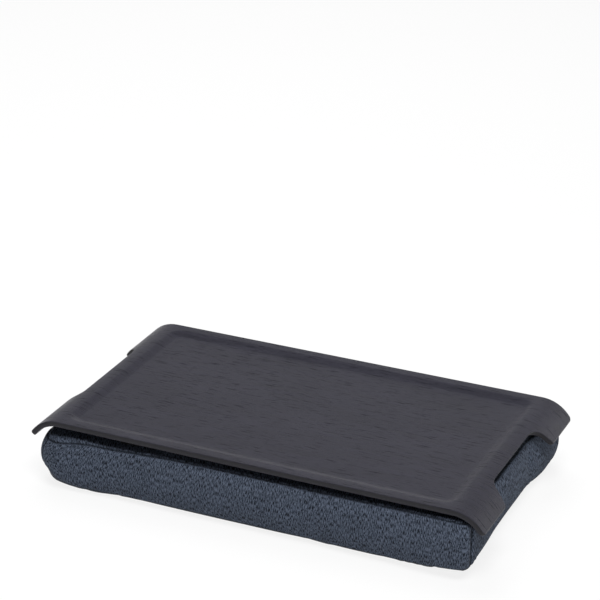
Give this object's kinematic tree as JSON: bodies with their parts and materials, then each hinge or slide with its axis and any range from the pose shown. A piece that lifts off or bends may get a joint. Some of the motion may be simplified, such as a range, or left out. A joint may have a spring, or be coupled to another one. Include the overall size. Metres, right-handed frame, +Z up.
{
  "type": "lap tray with cushion",
  "caption": "Moulded wood veneer tray with a shallow recess and bent-down lips with hand notches, on a bead-filled fabric cushion that it lifts off.",
  "frame": {"origin": "on the floor under the middle of the tray, at the centre of the part's footprint", "axes": "+X along the long side towards the right lip as seen from the front, +Y from the front edge to the back edge with the zip, +Z up"},
  "size_m": [0.43, 0.24, 0.064],
  "materials": {
    "stained_veneer": "near-black stained open-pore veneer under a satin anti-slip lacquer",
    "ply_edge": "black-brown stained cut edge of thin plies",
    "hook_tape": "black woven nylon hook tape",
    "loop_tape": "black brushed nylon loop tape",
    "cover_fabric": "blue-grey heathered plain weave",
    "base_fabric": "dark grey plain weave",
    "bag_cloth": "thin undyed lining cloth",
    "beads": "expanded polystyrene beads",
    "zip_tape": "dark blue-grey woven zip tape",
    "zip_coil": "dark nylon coil",
    "zip_metal": "dark painted die-cast zinc"
  },
  "bodies": {
    "cushion": {"cover_top_panel": "cover_fabric", "cover_bottom_panel": "base_fabric", "cover_front_wall": "cover_fabric", "cover_left_wall": "cover_fabric", "cover_right_wall": "cover_fabric", "cover_back_upper_band": "cover_fabric", "cover_back_lower_band": "cover_fabric", "loop_strip_left": "loop_tape", "loop_strip_right": "loop_tape", "bead_bag": "bag_cloth", "bead_fill": "beads", "zip_tape_upper": "zip_tape", "zip_tape_lower": "zip_tape", "zip_coil_upper": "zip_coil", "zip_coil_lower": "zip_coil", "zip_end_stops": "zip_metal"},
    "tray": {"tray_top_veneer": "stained_veneer", "tray_core": "ply_edge", "tray_bottom_veneer": "stained_veneer", "hook_strip_left": "hook_tape", "hook_strip_right": "hook_tape"},
    "slider": {"zip_slider": "zip_metal"},
    "pull": {"zip_pull": "zip_metal"}
  },
  "joints": [
    {"name": "tray_lift", "type": "slide", "parent": "cushion", "child": "tray", "axis": [0, 0, 1], "range_m": [0, 0.08]},
    {"name": "zip_slide", "type": "slide", "parent": "cushion", "child": "slider", "axis": [-1, 0, 0], "range_m": [0, 0.2454]},
    {"name": "pull_hinge", "type": "hinge", "parent": "slider", "child": "pull", "pos_m": [0.1227, 0.1181, 0.02311], "axis": [0, 0, -1], "range_deg": [0, 175]}
  ]
}
